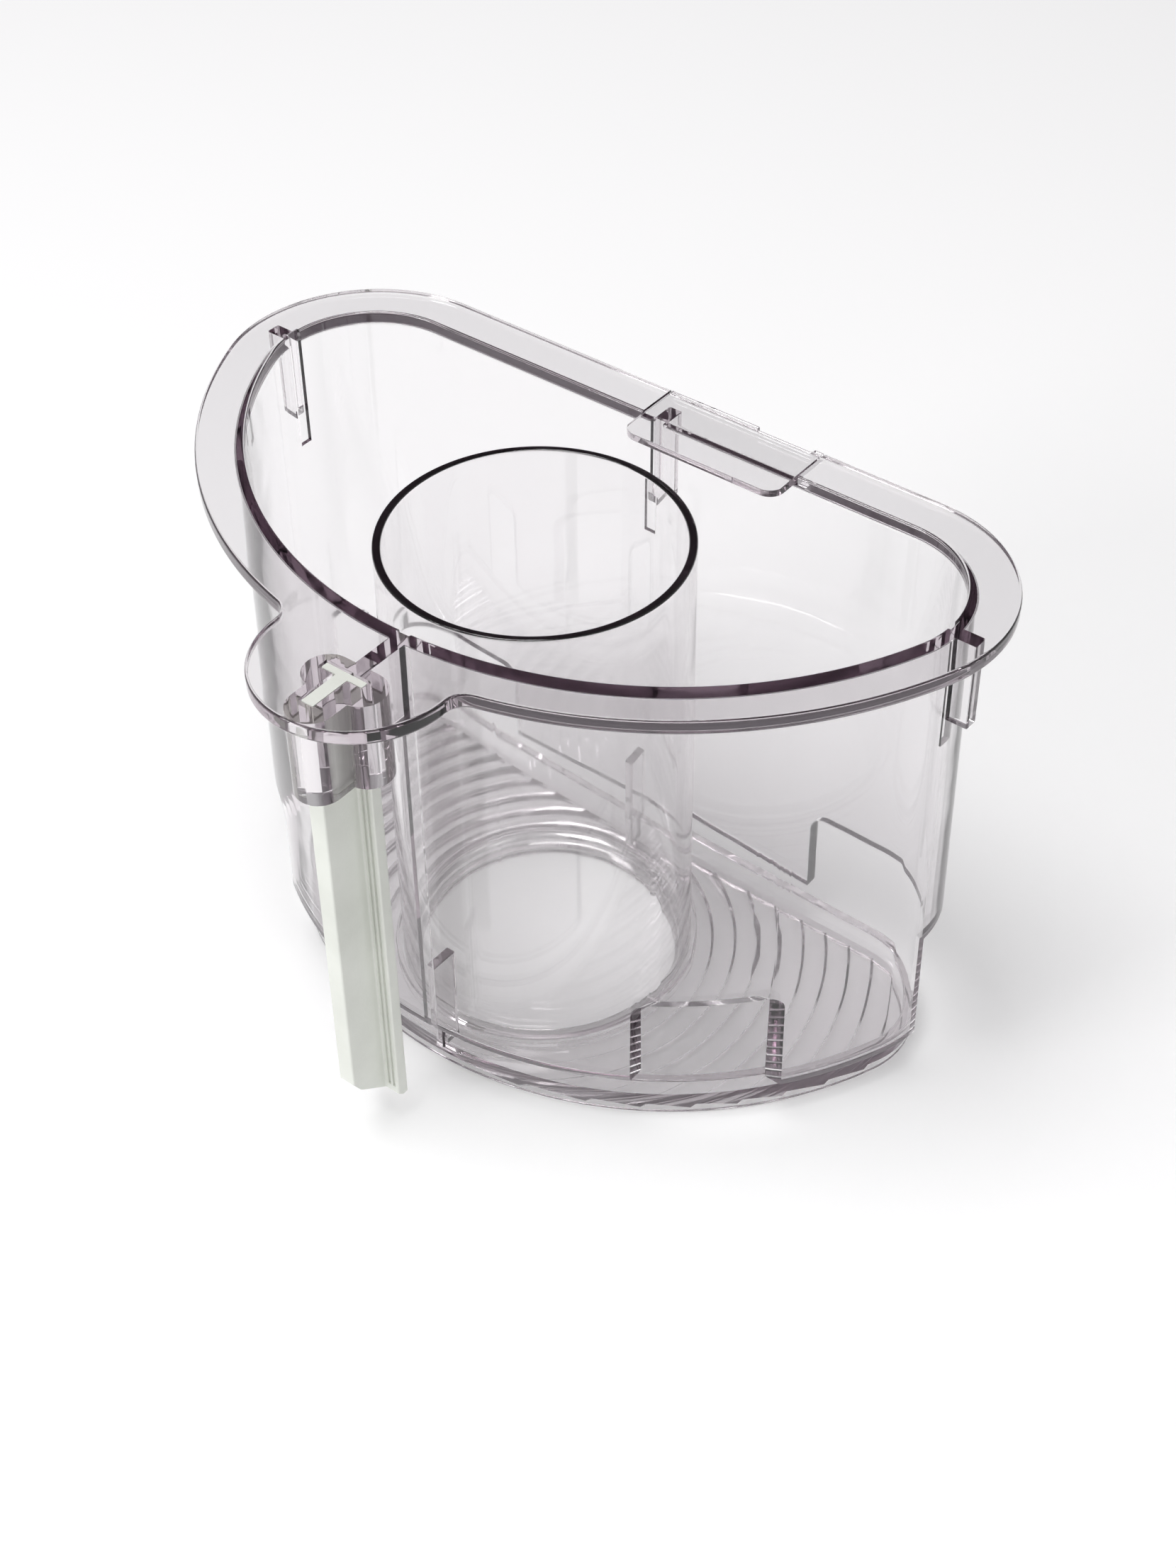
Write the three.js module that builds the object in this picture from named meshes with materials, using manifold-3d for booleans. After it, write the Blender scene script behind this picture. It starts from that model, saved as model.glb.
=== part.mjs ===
// Large pusher and sleeve of a food processor, as a three.js scene graph.
// Units are millimetres, +Z is up. The origin is the middle of the footprint, on the surface that the
// pusher's tray stands on. Inside the assembly group the small feed tube's axis is x = y = 0 and the
// top of the sleeve's rim is z = 0, so everything below the rim has a negative z.
import * as THREE from "three";
import { mergeVertices } from "three/addons/utils/BufferGeometryUtils.js";
import Module from "manifold-3d";

const wasm = await Module();
wasm.setup();

// ---- Driving dimensions ----
// The rim's outer outline is a D: a straight back, two corner arcs and one wide front arc, all tangent.
const BACK_Y = 38.3; // straight back of the D
const CORNER_X = 45.4; // centres of the corner arcs, and half the straight back
const CORNER_R = 23.3;
const FRONT_R = 72.2;
const CORNER_Y = BACK_Y - CORNER_R;
const FRONT_Y = CORNER_Y + Math.sqrt((FRONT_R - CORNER_R) ** 2 - CORNER_X ** 2); // front arc's centre

// Insets from that outline, at the wall's foot and at its top. The wall is thicker at its foot.
const WALL_OUT = { foot: 5.7, top: 6.2 };
const WALL_IN = { foot: 8.1, top: 7.5 };
const TRAY_OUT = 8.5;
const TRAY_IN = 10;

// Heights.
const RIM_THICK = 2.4;
const SLEEVE_FOOT = -81; // of the two side walls
const MIDDLE_FOOT = -78; // of the front and back walls, between the windows
const TRAY_TOP = -80.8;
const TRAY_FLOOR = -84.7;
const TRAY_FOOT = -88.3;
const FLOOR_FOOT = -87.9; // crests of the ripples, just clear of what the tray stands on

// Small feed tube.
const TUBE_R = 23.8;
const TUBE_WALL = 1.3;
const TUBE_TOP = -4.2;
const TUBE_FOOT = -87.1;
const BEAD_R = 21.4; // inward bead at the tube's foot
const BEAD_TOP = -83.5;
const BEAD_FOOT = -86.3;
const COLLAR_R = 25;
const COLLAR_TOP = -83.9;
const GAP = 0.3; // between separate pieces

// Ripples under the tray's floor, rings about the tube's axis.
const RIPPLE_FIRST = 27.8;
const RIPPLE_PITCH = 3.78;
const RIPPLE_DEPTH = 0.8;
const RIPPLE_COUNT = 12;
const RIPPLE_EDGE = 0.2; // half the width of the step from one ring to the next

// Guide fins on the tray and the grooves in the sleeve.
const FRONT_KEY_X = 2.9;
const BACK_KEY_X = -0.9;
const SIDE_KEY_Y = 15;
const FIN_THICK = 1.6;
const FIN_TOP = -66;
const FIN_DEPTH = 4.6;
const GROOVE_WIDE = 2.3;
const GROOVE_DEEP = 0.7;
const FIN_SUNK = 0.5; // into the tray's floor
const FRONT_FIN_OUT = 0.3; // how far the front fin stands out of the tray, towards its groove
const GROOVE_FOOT = -21; // of the back and side grooves; the front one is open at its foot
const GUSSET_WIDE = 2.4;
const GUSSET_OUT = 3.6;
const GUSSET_FOOT = -16;

// Windows cut out of the sleeve's four lower corners. A front window runs from a face at x to one at y.
const FRONT_WINDOW = { x: 35.2, y: -7.5, top: -61, round: 2.5 };
const BACK_WINDOW = { x: 31.7, y: 14.3, top: -64, round: 3 };
const SIDE_RISE = { x: 60, top: -60, round: 1.5 }; // the back window is taller beyond this x
const WINDOW_FACETS = 5; // in each rounded corner

// Ear on the front of the rim, and the T-section interlock rod that hangs from it.
const EAR_X = 1.6;
const EAR_Y = -40;
const EAR_R = 15.2;
const EAR_FILLET = 3;
const ROD_X = 2.4;
const BAR_FRONT_Y = -44.5;
const BAR_THICK = 2.1;
const BAR_LONG = 8.2;
const STEM_THICK = 3;
const STEM_TIP_Y = -51.3;
const NECK_INSET = 0.45; // the neck inside the boss is this much smaller all round
const NECK_SUNK = 0.2; // its top lies this far below the rim's
const ROD_FOOT = -82.5;
const ROD_TIP_FOOT = -75.4; // foot of the stem's outer edge
const ROD_BEND = { in: 1.4, down: 2.2 }; // where the sloping foot bends, from the foot of that edge
const ROD_GROOVES = [2.3, 3.2]; // fine grooves down each wing, from the stem's middle
const ROD_GROOVE_WIDE = 0.5;
const ROD_GROOVE_DEEP = 0.35;
const ROD_GROOVE_SHORT = 2; // they stop this far from the rod's foot and from the boss
const BOSS_FOOT = -16;
const BOSS_R = 3.7; // its section is two capsules, one along the bar and one along the stem
const BOSS_BAR_INSET = 1; // capsule's ends, from the ends of the bar and of the stem
const BOSS_STEM_INSET = 1.2;
const BOSS_FACETS = 8;
const WEB_WIDE = 2.7;

// Lock plate, let into the back of the rim.
const LOCK_X = [-3.4, 24.6];
const LOCK_TIP_Y = 25;
const LOCK_THICK = 1.2;
const LOCK_SLANT = 0.15; // dovetail: the plate is this much wider at its foot on each side
const LOCK_CORNER_R = 2.6;
const LOCK_NICK = { x: [13, 23], deep: 0.9 }; // finger step in the plate's back edge
const LOCK_SUNK = 0.02; // the plate lies this far below the rim's top
const LOCK_BACK = BACK_Y - 0.1;
const LOCK_FACETS = 4; // half the number in each rounded corner

const ARC_STEPS = 12; // half the number of facets in each arc of an outline
const PAST = 1; // how far a cut runs past what it cuts
const FAR = CORNER_X + CORNER_R; // past every wall

// ---- Solids ----
function toSolid(geometry) {
  geometry.deleteAttribute("normal");
  geometry.deleteAttribute("uv");
  const merged = mergeVertices(geometry, 1e-4);
  return new wasm.Manifold(
    new wasm.Mesh({
      numProp: 3,
      vertProperties: merged.attributes.position.array,
      triVerts: new Uint32Array(merged.index.array),
    }),
  );
}

function toGeometry(solid) {
  const mesh = solid.getMesh();
  const positions = new Float32Array(mesh.numVert * 3);
  for (let i = 0; i < mesh.numVert; i++) {
    const start = i * mesh.numProp;
    positions.set(mesh.vertProperties.subarray(start, start + 3), i * 3);
  }
  const geometry = new THREE.BufferGeometry();
  geometry.setAttribute("position", new THREE.BufferAttribute(positions, 3));
  geometry.setIndex(new THREE.BufferAttribute(new Uint32Array(mesh.triVerts), 1));
  geometry.computeVertexNormals();
  return geometry;
}

function prism(shape, low, high, steps = ARC_STEPS) {
  const settings = { depth: high - low, bevelEnabled: false, curveSegments: steps };
  const geometry = new THREE.ExtrudeGeometry(shape, settings);
  return toSolid(geometry.translate(0, 0, low));
}

function block(x, y, z) {
  const geometry = new THREE.BoxGeometry(x[1] - x[0], y[1] - y[0], z[1] - z[0]);
  return toSolid(geometry.translate((x[0] + x[1]) / 2, (y[0] + y[1]) / 2, (z[0] + z[1]) / 2));
}

// Turns a closed profile of [radius, z] points, listed anticlockwise, about the Z axis.
function turned(profile, steps = 72) {
  const points = [...profile, profile[0]].map(([r, z]) => new THREE.Vector2(r, z));
  return toSolid(new THREE.LatheGeometry(points, steps).rotateX(Math.PI / 2));
}

function disc(x, y, radius, low, high, steps = 48) {
  const geometry = new THREE.CylinderGeometry(radius, radius, high - low, steps);
  return toSolid(geometry.rotateX(Math.PI / 2).translate(x, y, (low + high) / 2));
}

// ---- Outlines ----
function outlineD(inset) {
  const join = Math.atan2(CORNER_Y - FRONT_Y, CORNER_X); // where the corner arc meets the front arc
  const shape = new THREE.Shape();
  shape.moveTo(-CORNER_X, BACK_Y - inset);
  shape.lineTo(CORNER_X, BACK_Y - inset);
  shape.absarc(CORNER_X, CORNER_Y, CORNER_R - inset, Math.PI / 2, join, true);
  shape.absarc(0, FRONT_Y, FRONT_R - inset, join, -Math.PI - join, true);
  shape.absarc(-CORNER_X, CORNER_Y, CORNER_R - inset, Math.PI - join, Math.PI / 2, true);
  return shape;
}

// A solid between two D outlines, one at its foot and one at its top.
function tapered(insetLow, insetHigh, low, high) {
  const apart = 1e-3; // each arc starts where the one before it ends, and that point is kept once
  const ring = (inset) => {
    const points = outlineD(inset).getPoints(ARC_STEPS);
    return points.filter((p, i) => p.distanceTo(points[(i + 1) % points.length]) > apart).reverse();
  };
  const lower = ring(insetLow);
  const upper = ring(insetHigh);
  const count = lower.length;
  const positions = [];
  for (const point of lower) positions.push(point.x, point.y, low);
  for (const point of upper) positions.push(point.x, point.y, high);
  const faces = [];
  for (const [a, b, c] of THREE.ShapeUtils.triangulateShape(lower, [])) {
    faces.push(c, b, a);
    faces.push(a + count, b + count, c + count);
  }
  for (let i = 0; i < count; i++) {
    const next = (i + 1) % count;
    faces.push(i, next, next + count);
    faces.push(i, next + count, i + count);
  }
  const geometry = new THREE.BufferGeometry();
  geometry.setAttribute("position", new THREE.Float32BufferAttribute(positions, 3));
  geometry.setIndex(faces);
  return toSolid(geometry);
}

// The T of the rod's section, grown by a margin on every side.
function outlineT(margin) {
  const half = STEM_THICK / 2 + margin;
  const bar = BAR_LONG / 2 + margin;
  const front = BAR_FRONT_Y - margin;
  const back = BAR_FRONT_Y + BAR_THICK + margin;
  return new THREE.Shape([
    new THREE.Vector2(ROD_X - bar, back),
    new THREE.Vector2(ROD_X - bar, front),
    new THREE.Vector2(ROD_X - half, front),
    new THREE.Vector2(ROD_X - half, STEM_TIP_Y - margin),
    new THREE.Vector2(ROD_X + half, STEM_TIP_Y - margin),
    new THREE.Vector2(ROD_X + half, front),
    new THREE.Vector2(ROD_X + bar, front),
    new THREE.Vector2(ROD_X + bar, back),
  ]);
}

function outlineCapsule(x0, y0, x1, y1, radius) {
  const along = Math.atan2(y1 - y0, x1 - x0);
  const quarter = Math.PI / 2;
  const shape = new THREE.Shape();
  shape.absarc(x1, y1, radius, along - quarter, along + quarter, false);
  shape.absarc(x0, y0, radius, along + quarter, along + 3 * quarter, false);
  return shape;
}

// Front view of the lock plate's dovetail, extruded along Y.
function dovetail(x, y, low, high, slant) {
  const shape = new THREE.Shape([
    new THREE.Vector2(x[0] - slant, low),
    new THREE.Vector2(x[1] + slant, low),
    new THREE.Vector2(x[1], high),
    new THREE.Vector2(x[0], high),
  ]);
  const geometry = new THREE.ExtrudeGeometry(shape, { depth: y[1] - y[0], bevelEnabled: false });
  return toSolid(geometry.rotateX(Math.PI / 2).translate(0, y[1], 0));
}

// A D-shaped ring between two insets and two heights.
function band(outer, inner, low, high) {
  return prism(outlineD(outer), low, high).subtract(prism(outlineD(inner), low - PAST, high + PAST));
}

// ---- Pieces ----
function makeSleeve() {
  const key = (x, y) => block(x, y, [GUSSET_FOOT, -RIM_THICK / 2]);
  const across = (middle) => [middle - GUSSET_WIDE / 2, middle + GUSSET_WIDE / 2];
  const wallX = FAR - WALL_OUT.top;
  const wallY = BACK_Y - WALL_OUT.top;
  const gussets = key(across(BACK_KEY_X), [wallY - PAST, wallY + GUSSET_OUT])
    .add(key([wallX - PAST, wallX + GUSSET_OUT], across(SIDE_KEY_Y)))
    .add(key([-wallX - GUSSET_OUT, -wallX + PAST], across(SIDE_KEY_Y)));

  const shell = prism(outlineD(0), -RIM_THICK, 0)
    .add(disc(EAR_X, EAR_Y, EAR_R, -RIM_THICK, 0, 64))
    .add(makeEarFillet(-1))
    .add(makeEarFillet(1))
    .add(tapered(WALL_OUT.foot, WALL_OUT.top, SLEEVE_FOOT, -RIM_THICK / 2))
    .add(gussets)
    .add(makeBoss())
    .subtract(makeBore(0));

  const rodHole = prism(outlineT(GAP - NECK_INSET), BOSS_FOOT - PAST, PAST);
  const seatX = [LOCK_X[0] - GAP, LOCK_X[1] + GAP];
  const seatY = [LOCK_TIP_Y, BACK_Y + PAST];
  const lockSeat = dovetail(seatX, seatY, -LOCK_THICK - GAP, LOCK_SUNK, LOCK_SLANT);
  const underMiddle = block([-CORNER_X, CORNER_X], [-FAR, FAR], [SLEEVE_FOOT - PAST, MIDDLE_FOOT]);
  const cuts = [...makeWindows(), makeGrooves(), underMiddle, rodHole, lockSeat];
  return cuts.reduce((left, cut) => left.subtract(cut), shell);
}

// Fills the inside corner between the ear and the rim, up to a small arc that touches both.
function makeEarFillet(side) {
  const apart = Math.hypot(EAR_X, EAR_Y - FRONT_Y);
  const toEar = EAR_R + EAR_FILLET;
  const toFront = FRONT_R + EAR_FILLET;
  const turn = Math.acos((apart ** 2 + toFront ** 2 - toEar ** 2) / (2 * apart * toFront));
  const angle = Math.atan2(EAR_Y - FRONT_Y, EAR_X) + side * turn;
  const x = toFront * Math.cos(angle);
  const y = FRONT_Y + toFront * Math.sin(angle);
  const corners = [
    new THREE.Vector2(0, FRONT_Y),
    new THREE.Vector2(EAR_X, EAR_Y),
    new THREE.Vector2(x, y),
  ];
  const wedge = new THREE.Shape(side > 0 ? corners : corners.reverse());
  return prism(wedge, -RIM_THICK, 0).subtract(disc(x, y, EAR_FILLET, -RIM_THICK - PAST, PAST));
}

// The boss under the ear follows the rod's T, and a web ties it to the wall.
function makeBoss() {
  const barY = BAR_FRONT_Y + BAR_THICK / 2;
  const reach = BAR_LONG / 2 - BOSS_BAR_INSET;
  const bar = outlineCapsule(ROD_X - reach, barY, ROD_X + reach, barY, BOSS_R);
  const stem = outlineCapsule(ROD_X, barY, ROD_X, STEM_TIP_Y + BOSS_STEM_INSET, BOSS_R);
  const wallY = FRONT_Y - FRONT_R + WALL_IN.top;
  const halfWeb = WEB_WIDE / 2;
  return prism(bar, BOSS_FOOT, -RIM_THICK / 2, BOSS_FACETS)
    .add(prism(stem, BOSS_FOOT, -RIM_THICK / 2, BOSS_FACETS))
    .add(block([ROD_X - halfWeb, ROD_X + halfWeb], [barY, wallY], [BOSS_FOOT, -RIM_THICK / 2]));
}

// An upright slab, endless downwards, whose top corners are rounded. It is seen along Y or along X.
function openSlab(across, top, round, depth, alongX) {
  const [low, high] = across;
  const shape = new THREE.Shape();
  shape.moveTo(low, SLEEVE_FOOT - PAST);
  shape.lineTo(high, SLEEVE_FOOT - PAST);
  shape.lineTo(high, top - round);
  shape.absarc(high - round, top - round, round, 0, Math.PI / 2, false);
  shape.lineTo(low + round, top);
  shape.absarc(low + round, top - round, round, Math.PI / 2, Math.PI, false);
  const settings = { depth: depth[1] - depth[0], bevelEnabled: false, curveSegments: WINDOW_FACETS };
  const geometry = new THREE.ExtrudeGeometry(shape, settings).rotateX(Math.PI / 2);
  if (alongX) return toSolid(geometry.rotateZ(Math.PI / 2).translate(depth[0], 0, 0));
  return toSolid(geometry.translate(0, depth[1], 0));
}

function makeWindows() {
  const { x, y, top, round } = FRONT_WINDOW;
  const cuts = [];
  for (const side of [-1, 1]) {
    const acrossX = (from) => (side > 0 ? [from, FAR] : [-FAR, -from]);
    const front = openSlab(acrossX(x), top, round, [-FAR, y], false);
    cuts.push(front.intersect(openSlab([-FAR, y], top, round, acrossX(x - PAST), true)));
    for (const window of [BACK_WINDOW, SIDE_RISE])
      cuts.push(openSlab(acrossX(window.x), window.top, window.round, [BACK_WINDOW.y, FAR], false));
  }
  return cuts;
}

// The sleeve's inside, grown by a margin and run out past both ends.
function makeBore(margin) {
  return tapered(WALL_IN.foot - margin, WALL_IN.top - margin, SLEEVE_FOOT - PAST, PAST);
}

function makeGrooves() {
  const half = GROOVE_WIDE / 2;
  const across = (middle) => [middle - half, middle + half];
  const upper = [GROOVE_FOOT, PAST];
  return block(across(BACK_KEY_X), [0, FAR], upper)
    .add(block([-FAR, FAR], across(SIDE_KEY_Y), upper))
    .add(block(across(FRONT_KEY_X), [-FAR, 0], [SLEEVE_FOOT - PAST, PAST]))
    .intersect(makeBore(GROOVE_DEEP));
}

// A shallow tray that fills the sleeve, with a rippled floor, a collar for the tube and two guide fins.
function makeTray() {
  const skirt = band(TRAY_OUT, TRAY_IN, TRAY_FOOT, TRAY_TOP);
  const bore = TUBE_R + GAP;
  const underside = [[bore - PAST, FLOOR_FOOT + RIPPLE_DEPTH]];
  for (let i = 0; i < RIPPLE_COUNT; i++) {
    const radius = RIPPLE_FIRST + i * RIPPLE_PITCH;
    if (radius > FAR) break;
    underside.push([radius - RIPPLE_EDGE, FLOOR_FOOT]);
    underside.push([radius + RIPPLE_EDGE, FLOOR_FOOT + RIPPLE_DEPTH]);
  }
  underside.push([FAR, FLOOR_FOOT]);
  const plate = turned([...underside, [FAR, TRAY_FLOOR], [bore - PAST, TRAY_FLOOR]]);
  const collar = turned([
    [BEAD_R, TRAY_FOOT],
    [COLLAR_R, TRAY_FOOT],
    [COLLAR_R, COLLAR_TOP],
    [BEAD_R, COLLAR_TOP],
  ]);
  const socket = disc(0, 0, bore, TUBE_FOOT - GAP, 0, 72);
  const halfFin = FIN_THICK / 2;
  const finZ = [TRAY_FLOOR - FIN_SUNK, FIN_TOP];
  const backEdge = BACK_Y - TRAY_OUT;
  const frontEdge = FRONT_Y - FRONT_R + TRAY_OUT;
  const across = (middle) => [middle - halfFin, middle + halfFin];
  const backFin = block(across(BACK_KEY_X), [backEdge - FIN_DEPTH, backEdge], finZ);
  const frontY = [frontEdge - FRONT_FIN_OUT, frontEdge + FIN_DEPTH];
  const frontFin = block(across(FRONT_KEY_X), frontY, finZ);
  return plate
    .intersect(prism(outlineD((TRAY_OUT + TRAY_IN) / 2), TRAY_FOOT, TRAY_TOP))
    .add(skirt)
    .add(collar)
    .add(backFin)
    .add(frontFin)
    .subtract(socket);
}

function makeTube() {
  return turned([
    [TUBE_R, TUBE_FOOT],
    [TUBE_R, TUBE_TOP],
    [TUBE_R - TUBE_WALL, TUBE_TOP],
    [TUBE_R - TUBE_WALL, BEAD_TOP],
    [BEAD_R, BEAD_FOOT],
    [BEAD_R, TUBE_FOOT],
  ]);
}

// A T-section bar with a slimmer neck that fills the boss. Its foot slopes up towards the stem's tip.
function makeRod() {
  const body = prism(outlineT(0), ROD_FOOT, BOSS_FOOT - GAP);
  const neck = prism(outlineT(-NECK_INSET), BOSS_FOOT - GAP - PAST, -NECK_SUNK);
  const slope = new THREE.Shape([
    new THREE.Vector2(STEM_TIP_Y - PAST, ROD_FOOT - PAST),
    new THREE.Vector2(BAR_FRONT_Y + PAST, ROD_FOOT - PAST),
    new THREE.Vector2(BAR_FRONT_Y + PAST, ROD_FOOT),
    new THREE.Vector2(STEM_TIP_Y + ROD_BEND.in, ROD_TIP_FOOT - ROD_BEND.down),
    new THREE.Vector2(STEM_TIP_Y, ROD_TIP_FOOT),
    new THREE.Vector2(STEM_TIP_Y - PAST, ROD_TIP_FOOT),
  ]);
  const settings = { depth: BAR_LONG + 2 * PAST, bevelEnabled: false };
  const foot = new THREE.ExtrudeGeometry(slope, settings);
  // The slope is drawn as (y, z), so it is turned to run along X.
  foot.applyMatrix4(new THREE.Matrix4().set(0, 0, 1, 0, 1, 0, 0, 0, 0, 1, 0, 0, 0, 0, 0, 1));
  foot.translate(ROD_X - BAR_LONG / 2 - PAST, 0, 0);
  return body.add(neck).subtract(toSolid(foot)).subtract(makeRodGrooves());
}

// Two fine grooves down the front of each wing of the bar.
function makeRodGrooves() {
  const half = ROD_GROOVE_WIDE / 2;
  const y = [BAR_FRONT_Y - PAST, BAR_FRONT_Y + ROD_GROOVE_DEEP];
  const z = [ROD_FOOT + ROD_GROOVE_SHORT, BOSS_FOOT - ROD_GROOVE_SHORT];
  const offsets = [...ROD_GROOVES, ...ROD_GROOVES.map((offset) => -offset)];
  return offsets
    .map((offset) => ROD_X + offset)
    .map((x) => block([x - half, x + half], y, z))
    .reduce((sum, cut) => sum.add(cut));
}

function makeLock() {
  const plate = dovetail(LOCK_X, [LOCK_TIP_Y, LOCK_BACK], -LOCK_THICK, -LOCK_SUNK, LOCK_SLANT);
  const corner = LOCK_CORNER_R;
  const outline = new THREE.Shape();
  const [left, right] = [LOCK_X[0] - LOCK_SLANT, LOCK_X[1] + LOCK_SLANT];
  outline.moveTo(LOCK_NICK.x[1], BACK_Y + PAST);
  outline.lineTo(LOCK_NICK.x[1], BACK_Y - LOCK_NICK.deep);
  outline.lineTo(LOCK_NICK.x[0], BACK_Y - LOCK_NICK.deep);
  outline.lineTo(LOCK_NICK.x[0], BACK_Y + PAST);
  outline.lineTo(left, BACK_Y + PAST);
  outline.lineTo(left, LOCK_TIP_Y + corner);
  outline.absarc(left + corner, LOCK_TIP_Y + corner, corner, Math.PI, 1.5 * Math.PI, false);
  outline.absarc(right - corner, LOCK_TIP_Y + corner, corner, 1.5 * Math.PI, 2 * Math.PI, false);
  outline.lineTo(right, BACK_Y + PAST);
  return plate.intersect(prism(outline, -LOCK_THICK - PAST, PAST, LOCK_FACETS));
}

// ---- Scene graph ----
const clear = (color) =>
  new THREE.MeshStandardMaterial({ color, roughness: 0.08, transparent: true, opacity: 0.3 });

function makeMesh(name, solid, material) {
  const mesh = new THREE.Mesh(toGeometry(solid), material);
  mesh.name = name;
  return mesh;
}

const assembly = new THREE.Group();
assembly.position.set(0, (EAR_R - EAR_Y - BACK_Y) / 2, -TRAY_FOOT);
assembly.add(
  makeMesh("sleeve", makeSleeve(), clear(0xe8e4ec)),
  makeMesh("lock_plate", makeLock(), clear(0xe8e4ec)),
  makeMesh(
    "interlock_rod",
    makeRod(),
    new THREE.MeshStandardMaterial({ color: 0xc9cfc4, roughness: 0.45 }),
  ),
);

const pusher = new THREE.Group();
pusher.add(
  makeMesh("pusher_tray", makeTray(), clear(0xe4deea)),
  makeMesh("small_feed_tube", makeTube(), clear(0xe6e8e6)),
);
assembly.add(pusher);

const root = new THREE.Group();
root.add(assembly);

export default root;
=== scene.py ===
"""Clear food-processor pusher and sleeve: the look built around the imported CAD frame."""

import math

import bmesh
import bpy
from mathutils import Matrix, Vector


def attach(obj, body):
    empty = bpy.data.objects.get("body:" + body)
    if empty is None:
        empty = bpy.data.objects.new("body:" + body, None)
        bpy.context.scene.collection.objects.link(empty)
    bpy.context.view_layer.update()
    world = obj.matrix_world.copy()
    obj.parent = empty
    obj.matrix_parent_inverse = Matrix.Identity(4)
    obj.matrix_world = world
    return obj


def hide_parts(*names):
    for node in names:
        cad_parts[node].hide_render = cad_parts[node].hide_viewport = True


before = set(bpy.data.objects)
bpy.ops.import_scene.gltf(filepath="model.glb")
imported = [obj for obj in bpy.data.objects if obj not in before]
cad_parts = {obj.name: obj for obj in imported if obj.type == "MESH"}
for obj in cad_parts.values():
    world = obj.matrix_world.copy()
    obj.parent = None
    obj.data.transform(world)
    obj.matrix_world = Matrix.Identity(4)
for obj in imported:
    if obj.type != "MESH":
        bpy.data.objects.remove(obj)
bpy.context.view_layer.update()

MM = 0.001
LIFT = Vector((0, 8.45, 88.3))  # from the tube-axis drawing frame to the row's frame, in mm

# ---- Sizes, in mm, in a drawing frame with the tube's axis at x = y = 0 and the rim's top at z = 0 ----
BACK_Y, CORNER_X, CORNER_R, FRONT_R = 38.3, 45.4, 23.3, 72.2
CORNER_Y = BACK_Y - CORNER_R
FRONT_Y = CORNER_Y + math.sqrt((FRONT_R - CORNER_R) ** 2 - CORNER_X**2)
WALL_OUT_FOOT, WALL_OUT_TOP = 5.7, 6.2  # insets of the sleeve's wall
WALL_IN_FOOT, WALL_IN_TOP = 8.1, 7.5
TRAY_OUT, TRAY_IN = 8.5, 10.0
RIM_THICK, SLEEVE_FOOT, MIDDLE_FOOT = 2.4, -81.0, -78.0
TRAY_TOP, TRAY_FLOOR, TRAY_FOOT, FLOOR_FOOT = -80.8, -84.7, -88.3, -87.9
TUBE_R, TUBE_WALL, TUBE_TOP, TUBE_FOOT = 23.8, 1.3, -4.2, -87.1
BEAD_R, BEAD_TOP, BEAD_FOOT = 21.4, -83.5, -86.3
COLLAR_R, COLLAR_TOP, GAP = 25.0, -83.9, 0.3
RIPPLE_FIRST, RIPPLE_PITCH, RIPPLE_DEPTH, RIPPLE_COUNT = 27.8, 3.78, 0.8, 12
RIPPLE_EDGE, RIPPLE_STEPS, RIPPLE_CURVE = 0.2, 6, 1.5
FRONT_KEY_X, BACK_KEY_X, SIDE_KEY_Y = 2.9, -0.9, 15.0
FIN_THICK, FIN_TOP, FIN_DEPTH, FRONT_FIN_OUT = 1.6, -66.0, 4.6, 0.3
FIN_SUNK, FIN_CLEAR = 0.5, 0.1  # into the tray's floor, and off the tube and the tray's outside
PLATE_INSET = 0.5  # the tray's floor ends this far inside the skirt's outer face
GROOVE_WIDE, GROOVE_DEEP, GROOVE_FOOT = 2.3, 0.7, -21.0
GUSSET_WIDE, GUSSET_OUT, GUSSET_FOOT = 2.4, 3.6, -16.0
FRONT_WINDOW = (35.2, -7.5, -61.0, 2.5)
BACK_WINDOW = (31.7, 14.3, -64.0, 3.0)
SIDE_RISE = (60.0, 14.3, -60.0, 1.5)  # the back window is taller beyond this x
EAR_X, EAR_Y, EAR_R, EAR_FILLET = 1.6, -40.0, 15.2, 3.0
ROD_X, BAR_FRONT_Y, BAR_THICK, BAR_LONG = 2.4, -44.5, 2.1, 8.2
STEM_THICK, STEM_TIP_Y, NECK_INSET = 3.0, -51.3, 0.45
ROD_FOOT, ROD_TIP_FOOT, NECK_SUNK = -82.5, -75.4, 0.2
ROD_BEND = (1.4, 2.2)  # where its sloping foot bends, in and down from the foot of the stem's tip
ROD_GROOVES, ROD_GROOVE_WIDE, ROD_GROOVE_DEEP, ROD_GROOVE_SHORT = (2.3, 3.2), 0.5, 0.35, 2.0
BOSS_FOOT, BOSS_R, BOSS_BAR_INSET, BOSS_STEM_INSET, WEB_WIDE = -16.0, 3.7, 1.0, 1.2, 2.7
LOCK_X, LOCK_TIP_Y, LOCK_THICK = (-3.4, 24.6), 25.0, 1.2
LOCK_SLANT, LOCK_CORNER_R, LOCK_SUNK = 0.15, 2.6, 0.02
LOCK_NICK, LOCK_BACK = (13.0, 23.0, 0.9), BACK_Y - 0.1
FAR = CORNER_X + CORNER_R  # past every wall
PAST = 1.0  # how far a cut runs past what it cuts
STEP_X = 41.0  # where the sleeve's foot steps down, inside the windows


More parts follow.
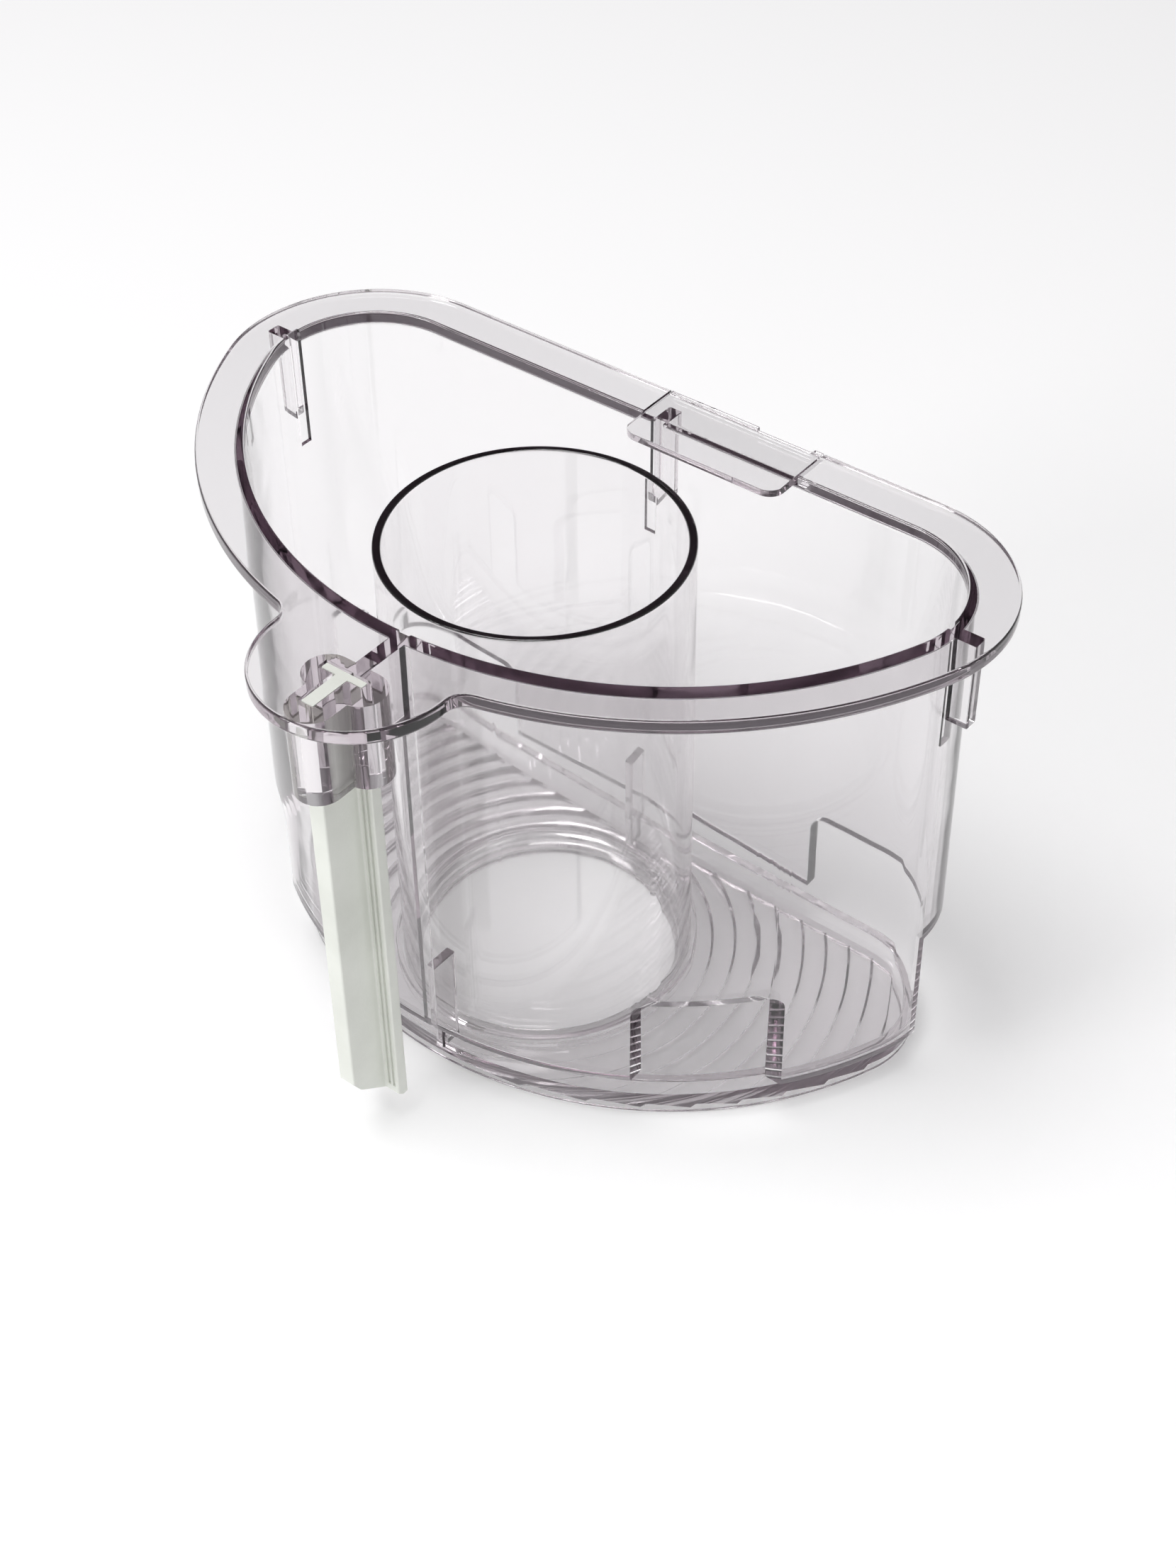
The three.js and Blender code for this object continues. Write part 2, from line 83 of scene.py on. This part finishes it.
# ---- Mesh tools ----
def solid(points, faces):
    """A mesh in the drawing frame, in mm, its faces turned outwards."""
    mesh = bpy.data.meshes.new("solid")
    mesh.from_pydata([Vector(p) for p in points], [], faces)
    bm = bmesh.new()
    bm.from_mesh(mesh)
    bmesh.ops.remove_doubles(bm, verts=bm.verts, dist=1e-4)
    bmesh.ops.recalc_face_normals(bm, faces=bm.faces)
    bm.to_mesh(mesh)
    bm.free()
    return mesh


def combine(mesh, others, operation):
    """mesh joined with, cut by or clipped to each of the others."""
    target = bpy.data.objects.new("target", mesh)
    bpy.context.scene.collection.objects.link(target)
    for other in others:
        tool = bpy.data.objects.new("tool", other)
        bpy.context.scene.collection.objects.link(tool)
        modifier = target.modifiers.new("boolean", "BOOLEAN")
        modifier.operation = operation
        modifier.solver = "EXACT"
        modifier.object = tool
        graph = bpy.context.evaluated_depsgraph_get()
        result = bpy.data.meshes.new_from_object(target.evaluated_get(graph))
        target.modifiers.clear()
        target.data = result
        bpy.data.objects.remove(tool)
    result = target.data
    bpy.data.objects.remove(target)
    return result


def loft(rings, closed=False):
    """Skins rings of equally many points. An open loft is capped, a closed one runs back to its start."""
    count = len(rings[0])
    points = [p for ring in rings for p in ring]
    faces = []
    for k in range(len(rings) if closed else len(rings) - 1):
        a, b = k * count, (k + 1) % len(rings) * count
        for i in range(count):
            j = (i + 1) % count
            faces.append((a + i, a + j, b + j, b + i))
    if not closed:
        faces.append(tuple(reversed(range(count))))
        faces.append(tuple(range(len(points) - count, len(points))))
    return solid(points, faces)


def block(x, y, z):
    corners = [(x[i], y[j], z[k]) for k in (0, 1) for j in (0, 1) for i in (0, 1)]
    sides = [(0, 2, 3, 1), (4, 5, 7, 6), (0, 1, 5, 4), (2, 6, 7, 3), (0, 4, 6, 2), (1, 3, 7, 5)]
    return solid(corners, sides)


def arc(cx, cy, radius, start, end, steps):
    """Points from angle start to angle end, in radians, without the last."""
    angles = [start + (end - start) * i / steps for i in range(steps)]
    return [(cx + radius * math.cos(a), cy + radius * math.sin(a)) for a in angles]


def at_height(outline, z):
    return [(x, y, z) for x, y in outline]


def prism(outline, low, high):
    return loft([at_height(outline, low), at_height(outline, high)])


def turned(profile, steps=160):
    """A closed profile of (radius, z) points turned about the Z axis."""
    rings = []
    for i in range(steps):
        turn = math.tau * i / steps
        rings.append([(r * math.cos(turn), r * math.sin(turn), z) for r, z in profile])
    return loft(rings, closed=True)


def rounded(corners, steps=5):
    """A polygon of (x, y, radius) corners with each corner rounded to its radius."""
    out = []
    for i, (x, y, radius) in enumerate(corners):
        here = Vector((x, y))
        back = (Vector(corners[i - 1][:2]) - here).normalized()
        on = (Vector(corners[(i + 1) % len(corners)][:2]) - here).normalized()
        if radius <= 0:
            out.append((x, y))
            continue
        half = back.angle(on) / 2
        centre = here + (back + on).normalized() * (radius / math.sin(half))
        first = here + back * (radius / math.tan(half)) - centre
        last = here + on * (radius / math.tan(half)) - centre
        start = math.atan2(first.y, first.x)
        turn = (math.atan2(last.y, last.x) - start + math.pi) % math.tau - math.pi
        for k in range(steps + 1):
            angle = start + turn * k / steps
            out.append((centre.x + radius * math.cos(angle), centre.y + radius * math.sin(angle)))
    return out


# ---- Outlines ----
JOIN = math.atan2(CORNER_Y - FRONT_Y, CORNER_X)  # where the corner arcs meet the front arc
CORNER_STEPS, SIDE_STEPS, FILLET_STEPS, EAR_STEPS, BACK_STEPS = 40, 36, 8, 56, 2


def fillet_centre(side):
    """Centre of the small arc between rim and ear, and its direction from the front arc's centre."""
    apart = math.hypot(EAR_X, EAR_Y - FRONT_Y)
    to_ear, to_front = EAR_R + EAR_FILLET, FRONT_R + EAR_FILLET
    turn = math.acos((apart**2 + to_front**2 - to_ear**2) / (2 * apart * to_front))
    angle = math.atan2(EAR_Y - FRONT_Y, EAR_X) + side * turn
    return to_front * math.cos(angle), FRONT_Y + to_front * math.sin(angle), angle


def outline_d(inset):
    """The D at an inset, clockwise from the left end of its back. Its points match outline_rim's."""
    right, left = fillet_centre(1)[2], fillet_centre(-1)[2]
    ends = [JOIN, right, left, -math.pi - JOIN]
    counts = [SIDE_STEPS, EAR_STEPS + 2 * FILLET_STEPS, SIDE_STEPS]
    span = 2 * CORNER_X / BACK_STEPS
    points = [(-CORNER_X + span * i, BACK_Y - inset) for i in range(BACK_STEPS)]
    points += arc(CORNER_X, CORNER_Y, CORNER_R - inset, math.pi / 2, JOIN, CORNER_STEPS)
    for k, count in enumerate(counts):
        points += arc(0, FRONT_Y, FRONT_R - inset, ends[k], ends[k + 1], count)
    points += arc(-CORNER_X, CORNER_Y, CORNER_R - inset, math.pi - JOIN, math.pi / 2, CORNER_STEPS)
    return points


def outline_rim(inset):
    """The rim's outline with the ear on its front, which small inside arcs join to it."""
    (rx, ry, right), (lx, ly, left) = fillet_centre(1), fillet_centre(-1)
    to_right = math.atan2(ry - EAR_Y, rx - EAR_X)
    to_left = math.atan2(ly - EAR_Y, lx - EAR_X)
    small = EAR_FILLET + inset
    span = 2 * CORNER_X / BACK_STEPS
    points = [(-CORNER_X + span * i, BACK_Y - inset) for i in range(BACK_STEPS)]
    points += arc(CORNER_X, CORNER_Y, CORNER_R - inset, math.pi / 2, JOIN, CORNER_STEPS)
    points += arc(0, FRONT_Y, FRONT_R - inset, JOIN, right, SIDE_STEPS)
    start = right + math.pi
    points += arc(rx, ry, small, start, start + (to_right - right) % math.tau, FILLET_STEPS)
    end = to_right - (to_right - to_left) % math.tau
    points += arc(EAR_X, EAR_Y, EAR_R - inset, to_right, end, EAR_STEPS)
    start = to_left + math.pi
    points += arc(lx, ly, small, start, start + (left - to_left) % math.tau, FILLET_STEPS)
    points += arc(0, FRONT_Y, FRONT_R - inset, left, -math.pi - JOIN, SIDE_STEPS)
    points += arc(-CORNER_X, CORNER_Y, CORNER_R - inset, math.pi - JOIN, math.pi / 2, CORNER_STEPS)
    return points


def outline_t(margin, convex=0.0):
    half, bar = STEM_THICK / 2 + margin, BAR_LONG / 2 + margin
    front, back, tip = BAR_FRONT_Y - margin, BAR_FRONT_Y + BAR_THICK + margin, STEM_TIP_Y - margin
    corners = [
        (ROD_X - bar, back, convex),
        (ROD_X - bar, front, convex),
        (ROD_X - half, front, convex),
        (ROD_X - half, tip, convex),
        (ROD_X + half, tip, convex),
        (ROD_X + half, front, convex),
        (ROD_X + bar, front, convex),
        (ROD_X + bar, back, convex),
    ]
    return rounded(corners)


def capsule(x0, y0, x1, y1, radius, steps=20):
    along, quarter = math.atan2(y1 - y0, x1 - x0), math.pi / 2
    points = arc(x1, y1, radius, along - quarter, along + quarter, steps)
    points.append((x1 + radius * math.cos(along + quarter), y1 + radius * math.sin(along + quarter)))
    points += arc(x0, y0, radius, along + quarter, along + 3 * quarter, steps)
    points.append((x0 + radius * math.cos(along - quarter), y0 + radius * math.sin(along - quarter)))
    return points


def soften(mesh, width, segments=2, angle=35):
    """Rounds the edges that are sharper than an angle in degrees."""
    bm = bmesh.new()
    bm.from_mesh(mesh)
    limit = math.radians(angle)
    sharp = [e for e in bm.edges if len(e.link_faces) == 2 and e.calc_face_angle(0) > limit]
    settings = {"segments": segments, "profile": 0.5, "affect": "EDGES", "clamp_overlap": True}
    bmesh.ops.bevel(bm, geom=sharp, offset=width, **settings)
    bm.to_mesh(mesh)
    bm.free()
    return mesh


def quarter_turn(inset, z, radius, start, steps=4):
    """Points of a rounded edge in a section drawn as (inset, z), about its centre."""
    angles = [math.radians(start) + math.pi / 2 * k / steps for k in range(steps + 1)]
    return [(inset + radius * math.cos(a), z + radius * math.sin(a)) for a in angles]


# ---- Sleeve ----
def tapered(inset_low, inset_high, low, high):
    return loft([at_height(outline_d(inset_low), low), at_height(outline_d(inset_high), high)])


def bore(margin):
    return tapered(WALL_IN_FOOT - margin, WALL_IN_TOP - margin, SLEEVE_FOOT - PAST, PAST)


def foot_height(x):
    """The front and back walls end higher than the side walls; the step falls inside the windows."""
    return MIDDLE_FOOT if abs(x) < STEP_X else SLEEVE_FOOT


def sleeve_shell():
    """Rim, ear and wall in one skin, every edge rounded, with a small fillet under the rim."""
    edge, fillet, foot, lip = 0.45, 0.4, 0.35, 0.55
    rim = quarter_turn(edge, -edge, edge, 90) + quarter_turn(edge, -RIM_THICK + edge, edge, 180)
    rings = [at_height(outline_rim(inset), z) for inset, z in rim]
    under_rim = reversed(quarter_turn(WALL_OUT_TOP - fillet, -RIM_THICK - fillet, fillet, 0, 6))
    rings += [at_height(outline_d(inset), z) for inset, z in under_rim]
    end = quarter_turn(WALL_OUT_FOOT + foot, foot, foot, 180)
    end += quarter_turn(WALL_IN_FOOT - foot, foot, foot, 270)
    rings += [[(x, y, foot_height(x) + z) for x, y in outline_d(inset)] for inset, z in end]
    inner_lip = quarter_turn(WALL_IN_TOP - lip, -lip, lip, 0, 5)
    rings += [at_height(outline_d(inset), z) for inset, z in inner_lip]
    return loft(rings, closed=True)


def open_slab(low, high, top, radius, depth, along_x):
    """An upright slab with rounded top corners that runs out below the foot, seen along Y or along X."""
    down = SLEEVE_FOOT - PAST
    shape = rounded([(low, down, 0), (high, down, 0), (high, top, radius), (low, top, radius)], 8)
    if along_x:
        return loft([[(d, u, z) for u, z in shape] for d in depth])
    return loft([[(u, d, z) for u, z in shape] for d in depth])


def windows():
    cuts = []
    for side in (-1, 1):
        def across(start):
            return (start, FAR) if side > 0 else (-FAR, -start)

        x, y, top, radius = FRONT_WINDOW
        front = open_slab(*across(x), top, radius, (-FAR, y), False)
        beside = open_slab(-FAR, y, top, radius, across(x - PAST), True)
        cuts.append(combine(front, [beside], "INTERSECT"))
        for x, y, top, radius in (BACK_WINDOW, SIDE_RISE):
            cuts.append(open_slab(*across(x), top, radius, (y, FAR), False))
    return cuts


def grooves():
    half, upper = GROOVE_WIDE / 2, (GROOVE_FOOT, PAST)
    back = block((BACK_KEY_X - half, BACK_KEY_X + half), (0, FAR), upper)
    sides = block((-FAR, FAR), (SIDE_KEY_Y - half, SIDE_KEY_Y + half), upper)
    front = block((FRONT_KEY_X - half, FRONT_KEY_X + half), (-FAR, 0), (SLEEVE_FOOT - PAST, PAST))
    return [combine(b, [bore(GROOVE_DEEP)], "INTERSECT") for b in (back, sides, front)]


def dovetail(x, y, low, high, slant):
    shape = [(x[0] - slant, low), (x[1] + slant, low), (x[1], high), (x[0], high)]
    return loft([[(u, d, z) for u, z in shape] for d in y])


def boss():
    """Clover-shaped boss under the ear, tied to the wall by a web."""
    bar_y, reach = BAR_FRONT_Y + BAR_THICK / 2, BAR_LONG / 2 - BOSS_BAR_INSET
    inside, edge = -RIM_THICK / 2, 0.2

    def lobe(*ends):
        foot = quarter_turn(BOSS_R - edge, BOSS_FOOT + edge, edge, 270)
        rings = [at_height(capsule(*ends, r), z) for r, z in foot]
        return loft([*rings, at_height(capsule(*ends, BOSS_R), inside)])

    bar = lobe(ROD_X - reach, bar_y, ROD_X + reach, bar_y)
    stem = lobe(ROD_X, bar_y, ROD_X, STEM_TIP_Y + BOSS_STEM_INSET)
    wall_y, half = FRONT_Y - FRONT_R + (WALL_IN_TOP + WALL_OUT_TOP) / 2, WEB_WIDE / 2
    web = block((ROD_X - half, ROD_X + half), (bar_y, wall_y), (BOSS_FOOT + 2 * edge, inside))
    return combine(bar, [stem], "UNION"), soften(web, 0.25)


def gusset(x, y):
    return soften(block(x, y, (GUSSET_FOOT, -RIM_THICK / 2)), 0.3, 3)


def build_sleeve():
    half = GUSSET_WIDE / 2
    wall = FAR - WALL_OUT_TOP
    back = BACK_Y - WALL_OUT_TOP
    side = (SIDE_KEY_Y - half, SIDE_KEY_Y + half)
    added = [
        gusset((BACK_KEY_X - half, BACK_KEY_X + half), (back - PAST, back + GUSSET_OUT)),
        gusset((wall - PAST, wall + GUSSET_OUT), side),
        gusset((-wall - GUSSET_OUT, -wall + PAST), side),
        *boss(),
    ]
    shell = combine(sleeve_shell(), added, "UNION")
    hole = prism(outline_t(GAP - NECK_INSET), BOSS_FOOT - PAST, PAST)
    seat_x, seat_y = (LOCK_X[0] - GAP, LOCK_X[1] + GAP), (LOCK_TIP_Y, BACK_Y + PAST)
    seat = dovetail(seat_x, seat_y, -LOCK_THICK - GAP, LOCK_SUNK, LOCK_SLANT)
    return combine(shell, [*windows(), *grooves(), hole, seat], "DIFFERENCE")


# ---- Pusher ----
def build_tray():
    """A shallow tray with a stepped underside, a collar for the tube and two guide fins."""
    edge, socket = 0.35, TUBE_R + GAP
    under = quarter_turn(BEAD_R + edge, TRAY_FOOT + edge, edge, 180)
    under += quarter_turn(COLLAR_R - edge, TRAY_FOOT + edge, edge, 270)
    under.append((COLLAR_R, FLOOR_FOOT + RIPPLE_DEPTH))
    for i in range(RIPPLE_COUNT):
        outer = RIPPLE_FIRST + RIPPLE_PITCH * i - RIPPLE_EDGE
        inner = outer - RIPPLE_PITCH + 2 * RIPPLE_EDGE
        for k in range(RIPPLE_STEPS + 1):
            along = k / RIPPLE_STEPS
            radius = inner + (outer - inner) * along
            if radius > COLLAR_R:
                under.append((radius, FLOOR_FOOT + RIPPLE_DEPTH * (1 - along**RIPPLE_CURVE)))
    ring = [(COLLAR_R, TRAY_FLOOR), *quarter_turn(COLLAR_R - edge, COLLAR_TOP - edge, edge, 0)]
    ring += [(socket, COLLAR_TOP), (socket, TUBE_FOOT - GAP), (BEAD_R, TUBE_FOOT - GAP)]
    plate = turned([*under, (outer, TRAY_FLOOR), *ring])
    within = prism(outline_d(TRAY_OUT + PLATE_INSET), TRAY_FOOT - PAST, TRAY_TOP)
    plate = combine(plate, [within], "INTERSECT")
    section = quarter_turn(TRAY_OUT + edge, TRAY_TOP - edge, edge, 90)
    section += quarter_turn(TRAY_OUT + edge, TRAY_FOOT + edge, edge, 180)
    section += quarter_turn(TRAY_IN - edge, TRAY_FOOT + edge, edge, 270)
    section += quarter_turn(TRAY_IN - edge, TRAY_TOP - edge, edge, 0)
    skirt = loft([at_height(outline_d(inset), z) for inset, z in section], closed=True)
    clear_of_tube = prism(arc(0, 0, socket + FIN_CLEAR, 0, math.tau, 160), TRAY_FOOT, 0)
    half, fin_z = FIN_THICK / 2, (TRAY_FLOOR - FIN_SUNK, FIN_TOP)
    back_edge, front_edge = BACK_Y - TRAY_OUT, FRONT_Y - FRONT_R + TRAY_OUT
    back_x, front_x = (BACK_KEY_X - half, BACK_KEY_X + half), (FRONT_KEY_X - half, FRONT_KEY_X + half)
    fins = [
        soften(block(back_x, (back_edge - FIN_DEPTH, back_edge - FIN_CLEAR), fin_z), 0.25, 3),
        soften(block(front_x, (front_edge - FRONT_FIN_OUT, front_edge + FIN_DEPTH), fin_z), 0.25, 3),
    ]
    fins = [combine(fin, [clear_of_tube], "DIFFERENCE") for fin in fins]
    return combine(plate, [skirt, *fins], "UNION")


def build_tube():
    """The small feed tube, with a bead inside its foot."""
    edge, chamfer, steps = 0.4, 0.2, 8
    inner = TUBE_R - TUBE_WALL
    section = quarter_turn(TUBE_R - edge, TUBE_FOOT + edge, edge, 270)
    section += quarter_turn(TUBE_R - edge, TUBE_TOP - edge, edge, 0)
    section += quarter_turn(inner + edge, TUBE_TOP - edge, edge, 90)
    for k in range(steps + 1):
        ease = (1 - math.cos(math.pi * k / steps)) / 2
        z = BEAD_TOP + (BEAD_FOOT - BEAD_TOP) * k / steps
        section.append((inner + (BEAD_R - inner) * ease, z))
    section.append((BEAD_R, TUBE_FOOT + chamfer))
    section.append((BEAD_R + chamfer, TUBE_FOOT))
    return turned(section, 200)


# ---- Interlock rod and lock plate ----
def build_rod():
    """T-section rod with a slimmer neck, two fine grooves down each wing and a sloping foot."""
    body = prism(outline_t(0, 0.3), ROD_FOOT, BOSS_FOOT - GAP)
    neck = prism(outline_t(-NECK_INSET, 0.15), BOSS_FOOT - GAP - PAST, -NECK_SUNK)
    slope = [
        (STEM_TIP_Y - PAST, ROD_FOOT - PAST),
        (BAR_FRONT_Y + PAST, ROD_FOOT - PAST),
        (BAR_FRONT_Y + PAST, ROD_FOOT),
        (STEM_TIP_Y + ROD_BEND[0], ROD_TIP_FOOT - ROD_BEND[1]),
        (STEM_TIP_Y, ROD_TIP_FOOT),
        (STEM_TIP_Y - PAST, ROD_TIP_FOOT),
    ]
    reach = BAR_LONG / 2 + PAST
    cuts = [loft([[(x, y, z) for y, z in slope] for x in (ROD_X - reach, ROD_X + reach)])]
    half, groove_y = ROD_GROOVE_WIDE / 2, (BAR_FRONT_Y - PAST, BAR_FRONT_Y + ROD_GROOVE_DEEP)
    groove_z = (ROD_FOOT + ROD_GROOVE_SHORT, BOSS_FOOT - ROD_GROOVE_SHORT)
    for offset in (-ROD_GROOVES[1], -ROD_GROOVES[0], *ROD_GROOVES):
        cuts.append(block((ROD_X + offset - half, ROD_X + offset + half), groove_y, groove_z))
    return soften(combine(combine(body, [neck], "UNION"), cuts, "DIFFERENCE"), 0.12, 2, 50)


def build_lock():
    plate = dovetail(LOCK_X, (LOCK_TIP_Y, LOCK_BACK), -LOCK_THICK, -LOCK_SUNK, LOCK_SLANT)
    left, right, corner = LOCK_X[0] - LOCK_SLANT, LOCK_X[1] + LOCK_SLANT, LOCK_CORNER_R
    (x0, x1, deep), nick_r = LOCK_NICK, 0.3
    outline = rounded(
        [
            (left, LOCK_TIP_Y, corner),
            (right, LOCK_TIP_Y, corner),
            (right, BACK_Y + PAST, 0),
            (x1, BACK_Y + PAST, 0),
            (x1, BACK_Y - deep, nick_r),
            (x0, BACK_Y - deep, nick_r),
            (x0, BACK_Y + PAST, 0),
            (left, BACK_Y + PAST, 0),
        ],
        8,
    )
    return soften(combine(plate, [prism(outline, -LOCK_THICK - PAST, PAST)], "INTERSECT"), 0.12, 2, 40)


# ---- Materials ----
def node_tree(name):
    material = bpy.data.materials.new(name)
    material.use_nodes = True
    nodes, links = material.node_tree.nodes, material.node_tree.links
    shader = next(n for n in nodes if n.type == "BSDF_PRINCIPLED")
    output = next(n for n in nodes if n.type == "OUTPUT_MATERIAL")
    return material, nodes, links, shader, output


def noise(nodes, links, scale, detail=3.0):
    where = nodes.new("ShaderNodeTexCoord")
    texture = nodes.new("ShaderNodeTexNoise")
    texture.inputs["Scale"].default_value = scale
    texture.inputs["Detail"].default_value = detail
    links.new(where.outputs["Object"], texture.inputs["Vector"])
    return texture


def spread(nodes, links, source, low, high):
    """The noise, whose values lie around 0.5, mapped to a range."""
    to = nodes.new("ShaderNodeMapRange")
    to.inputs["From Min"].default_value = 0.3
    to.inputs["From Max"].default_value = 0.7
    to.inputs["To Min"].default_value = low
    to.inputs["To Max"].default_value = high
    links.new(source.outputs["Fac"], to.inputs["Value"])
    return to.outputs["Result"]


def clear_plastic(name, tint, density, wave):
    """Moulded clear polycarbonate: faint flow marks, fine uneven haze, and long paths inside go dark."""
    material, nodes, links, shader, output = node_tree(name)
    shader.inputs["Base Color"].default_value = (1, 1, 1, 1)
    shader.inputs["Transmission Weight"].default_value = 1
    shader.inputs["IOR"].default_value = 1.585
    flow, haze = noise(nodes, links, 45, 2), noise(nodes, links, 320, 4)
    links.new(spread(nodes, links, haze, 0.0, 0.045), shader.inputs["Roughness"])
    bump = nodes.new("ShaderNodeBump")
    bump.inputs["Strength"].default_value = wave
    bump.inputs["Distance"].default_value = 0.0004
    links.new(flow.outputs["Fac"], bump.inputs["Height"])
    links.new(bump.outputs["Normal"], shader.inputs["Normal"])
    absorb = nodes.new("ShaderNodeVolumeAbsorption")
    absorb.inputs["Color"].default_value = (*tint, 1)
    absorb.inputs["Density"].default_value = density
    links.new(absorb.outputs["Volume"], output.inputs["Volume"])
    return material


def pale_plastic(name):
    material, nodes, links, shader, _ = node_tree(name)
    mottle = noise(nodes, links, 90, 4)
    ramp = nodes.new("ShaderNodeValToRGB")
    darker, lighter = ramp.color_ramp.elements
    darker.position, darker.color = 0.3, (0.76, 0.78, 0.72, 1)
    lighter.position, lighter.color = 0.7, (0.85, 0.87, 0.81, 1)
    links.new(mottle.outputs["Fac"], ramp.inputs["Fac"])
    links.new(ramp.outputs["Color"], shader.inputs["Base Color"])
    links.new(spread(nodes, links, noise(nodes, links, 500, 3), 0.32, 0.5), shader.inputs["Roughness"])
    shader.inputs["IOR"].default_value = 1.49
    bump = nodes.new("ShaderNodeBump")
    bump.inputs["Strength"].default_value = 0.25
    bump.inputs["Distance"].default_value = 0.0001
    links.new(noise(nodes, links, 1500, 2).outputs["Fac"], bump.inputs["Height"])
    links.new(bump.outputs["Normal"], shader.inputs["Normal"])
    return material


# ---- Pieces ----
def place(mesh, name, node, body, material):
    """Puts a drawing-frame mesh into the row's frame, in metres, in place of a CAD node."""
    mesh.transform(Matrix.Scale(MM, 4) @ Matrix.Translation(LIFT))
    mesh.materials.clear()
    mesh.materials.append(material)
    mesh.name = name
    mesh.shade_smooth()
    mesh.set_sharp_from_angle(angle=math.radians(32))
    piece = bpy.data.objects.new(name, mesh)
    bpy.context.scene.collection.objects.link(piece)
    weighted = piece.modifiers.new("weighted normals", "WEIGHTED_NORMAL")
    weighted.mode, weighted.weight, weighted.keep_sharp = "FACE_AREA", 100, True
    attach(piece, body)
    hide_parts(node)
    return piece


TINT = (0.77, 0.725, 0.755)
body_plastic = clear_plastic("clear_plastic", TINT, 118, 0.12)
tray_plastic = clear_plastic("clear_plastic_tray", TINT, 140, 0.12)
tube_plastic = clear_plastic("clear_plastic_tube", (0.76, 0.735, 0.75), 150, 0.1)
rod_plastic = pale_plastic("pale_plastic")

place(build_sleeve(), "sleeve_clear", "sleeve", "sleeve", body_plastic)
place(build_lock(), "lock_plate_clear", "lock_plate", "lock", body_plastic)
place(build_rod(), "interlock_rod_pale", "interlock_rod", "sleeve", rod_plastic)
place(build_tray(), "pusher_tray_clear", "pusher_tray", "pusher", tray_plastic)
place(build_tube(), "small_feed_tube_clear", "small_feed_tube", "pusher", tube_plastic)


# ---- Floor, light and camera ----
def make_floor():
    size = 3.0
    corners = [(-size, -size, 0), (size, -size, 0), (size, size, 0), (-size, size, 0)]
    mesh = bpy.data.meshes.new("floor")
    mesh.from_pydata(corners, [], [(0, 1, 2, 3)])
    floor = bpy.data.objects.new("floor", mesh)
    bpy.context.scene.collection.objects.link(floor)
    floor.location.z = -0.0002
    material, _, _, shader, _ = node_tree("floor_paper")
    shader.inputs["Base Color"].default_value = (0.9, 0.9, 0.9, 1)
    shader.inputs["Roughness"].default_value = 0.9
    shader.inputs["Specular IOR Level"].default_value = 0.0
    shader.inputs["Emission Color"].default_value = (1, 1, 1, 1)
    shader.inputs["Emission Strength"].default_value = 0.26
    mesh.materials.append(material)


FAR_SIDE = (-0.48, 0.61, 0.63)  # middle of the dark part of the room, up behind the object
WORLD_STRENGTH = 0.5


def make_world():
    """A studio dome: bright overhead and behind the camera, dark low down on the far side."""
    world = bpy.data.worlds.new("studio")
    bpy.context.scene.world = world
    world.use_nodes = True
    nodes, links = world.node_tree.nodes, world.node_tree.links
    background = next(n for n in nodes if n.type == "BACKGROUND")
    where = nodes.new("ShaderNodeTexCoord")
    apart = nodes.new("ShaderNodeVectorMath")
    apart.operation = "DOT_PRODUCT"
    apart.inputs[1].default_value = FAR_SIDE
    ramp = nodes.new("ShaderNodeValToRGB")
    bright, dark = ramp.color_ramp.elements
    bright.position, bright.color = 0.45, (0.95, 0.95, 0.96, 1)
    dark.position, dark.color = 0.78, (0.15, 0.12, 0.145, 1)
    links.new(where.outputs["Generated"], apart.inputs[0])
    links.new(apart.outputs["Value"], ramp.inputs["Fac"])
    links.new(ramp.outputs["Color"], background.inputs["Color"])
    background.inputs["Strength"].default_value = WORLD_STRENGTH


def softbox(name, place_at, aim, size, power):
    lamp = bpy.data.lights.new(name, "AREA")
    lamp.shape, lamp.size, lamp.size_y, lamp.energy = "RECTANGLE", size[0], size[1], power
    obj = bpy.data.objects.new(name, lamp)
    bpy.context.scene.collection.objects.link(obj)
    obj.location = place_at
    obj.rotation_mode = "QUATERNION"
    obj.rotation_quaternion = (Vector(aim) - Vector(place_at)).to_track_quat("-Z", "Y")


def make_camera():
    pitch, turn, roll = math.radians(42.15), math.radians(38.58), math.radians(-0.79)
    back = Vector((math.sin(turn) * math.cos(pitch), -math.cos(turn) * math.cos(pitch), math.sin(pitch)))
    right = Vector((math.cos(turn), math.sin(turn), 0))
    up = back.cross(right)
    across = right * math.cos(roll) + up * math.sin(roll)
    upward = up * math.cos(roll) - right * math.sin(roll)
    lens = bpy.data.cameras.new("camera")
    lens.sensor_width, lens.lens = 36, 57.39
    lens.clip_start, lens.clip_end = 0.01, 20
    camera = bpy.data.objects.new("camera", lens)
    bpy.context.scene.collection.objects.link(camera)
    camera.rotation_mode = "QUATERNION"
    camera.rotation_quaternion = Matrix((across, upward, back)).transposed().to_quaternion()
    camera.location = Vector((189.0, -216.85, 301.8)) * MM
    bpy.context.scene.camera = camera


make_floor()
make_world()
softbox("top", (-0.1, -0.15, 0.95), (0, 0, 0.04), (0.5, 0.5), 4.5)
softbox("front", (-0.35, -0.75, 0.45), (0, 0, 0.04), (0.3, 0.3), 2.3)
make_camera()

scene = bpy.context.scene
scene.view_settings.view_transform = "Standard"
scene.view_settings.look = "None"
scene.cycles.max_bounces = 48
scene.cycles.transmission_bounces = 24
scene.cycles.glossy_bounces = 40
scene.cycles.diffuse_bounces = 3
scene.cycles.blur_glossy = 0.4

bpy.context.view_layer.update()
